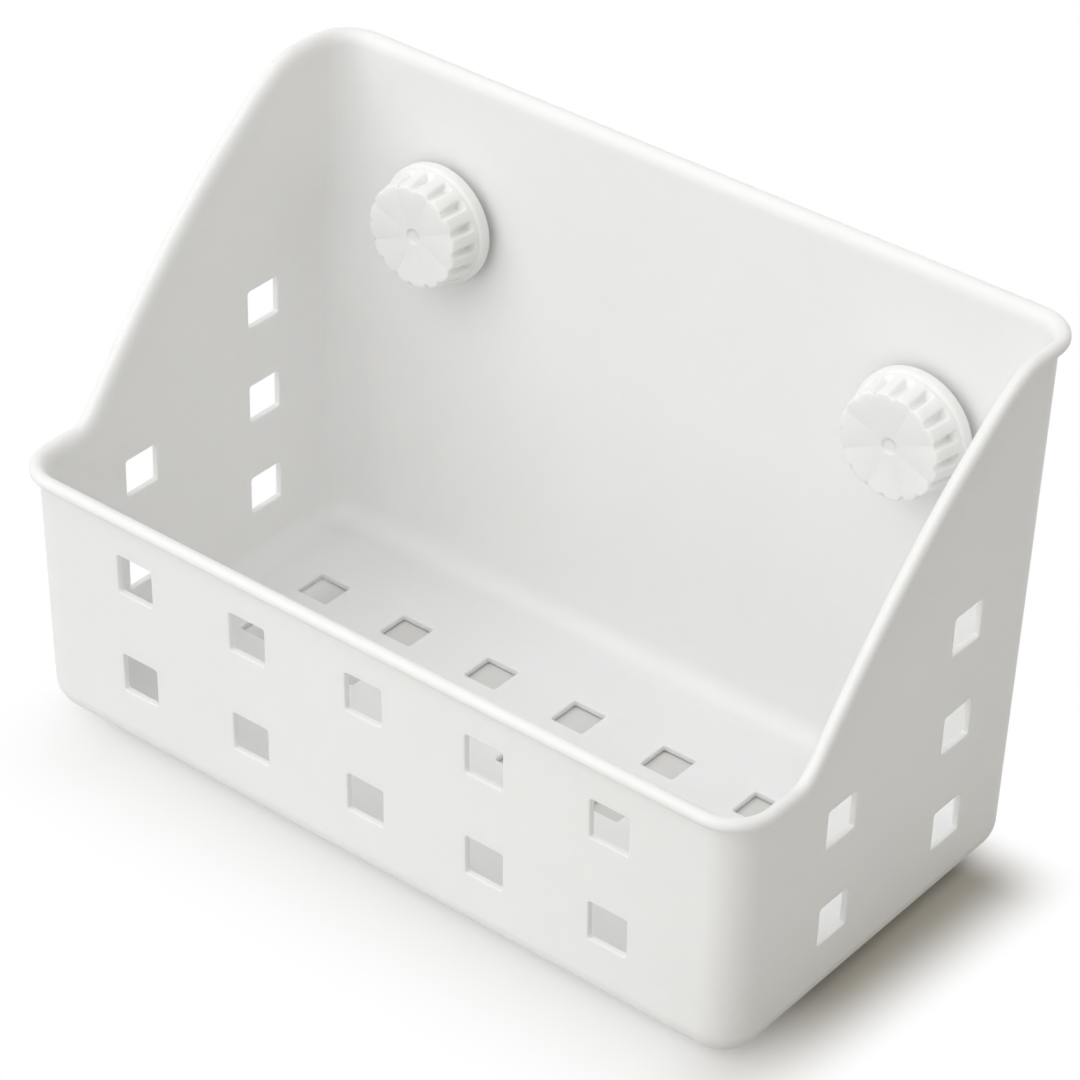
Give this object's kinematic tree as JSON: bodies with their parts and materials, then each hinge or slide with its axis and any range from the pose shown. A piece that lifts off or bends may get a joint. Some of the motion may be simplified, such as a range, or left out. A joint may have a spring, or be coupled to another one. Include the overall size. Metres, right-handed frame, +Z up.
{
  "type": "cosmetic organizer rack",
  "caption": "Moulded wall basket with a tall back, low front, curved side tops and square drain holes, held to a smooth wall by screw-on suction cups.",
  "frame": {"origin": "centre of the footprint on the surface that the basket stands on", "axes": "+X to the right seen from the front, +Y to the back wall and its suction cups, +Z up"},
  "size_m": [0.2396, 0.1426, 0.1569],
  "materials": {
    "white_polypropylene": "satin",
    "white_abs": "satin",
    "dome_polypropylene": "satin",
    "clear_pvc": "glossy",
    "stud_nylon": "satin"
  },
  "bodies": {
    "basket": {"basket": "white_polypropylene", "pressure_dome_left": "dome_polypropylene", "pressure_dome_right": "dome_polypropylene"},
    "left_knob": {"knob_left": "white_abs"},
    "right_knob": {"knob_right": "white_abs"},
    "left_stud": {"threaded_stud_left": "stud_nylon", "suction_cup_left": "clear_pvc"},
    "right_stud": {"threaded_stud_right": "stud_nylon", "suction_cup_right": "clear_pvc"}
  },
  "joints": [
    {"name": "left_knob_turn", "type": "hinge", "parent": "basket", "child": "left_knob", "pos_m": [-0.0776, 0.05625, 0.1126], "axis": [0, 0.9998, -0.0192], "range_deg": [-180, 360]},
    {"name": "right_knob_turn", "type": "hinge", "parent": "basket", "child": "right_knob", "pos_m": [0.0776, 0.05625, 0.1126], "axis": [0, 0.9998, -0.0192], "range_deg": [-180, 360]},
    {"name": "left_stud_slide", "type": "slide", "parent": "basket", "child": "left_stud", "axis": [0, -0.9998, 0.0192], "range_m": [-0.001, 0.002], "deforming": ["suction_cup_left"]},
    {"name": "right_stud_slide", "type": "slide", "parent": "basket", "child": "right_stud", "axis": [0, -0.9998, 0.0192], "range_m": [-0.001, 0.002], "deforming": ["suction_cup_right"]}
  ],
  "couplings": [
    {"joint": "left_stud_slide", "follows": "left_knob_turn", "m_per_rad": 0.0003183},
    {"joint": "right_stud_slide", "follows": "right_knob_turn", "m_per_rad": 0.0003183}
  ]
}
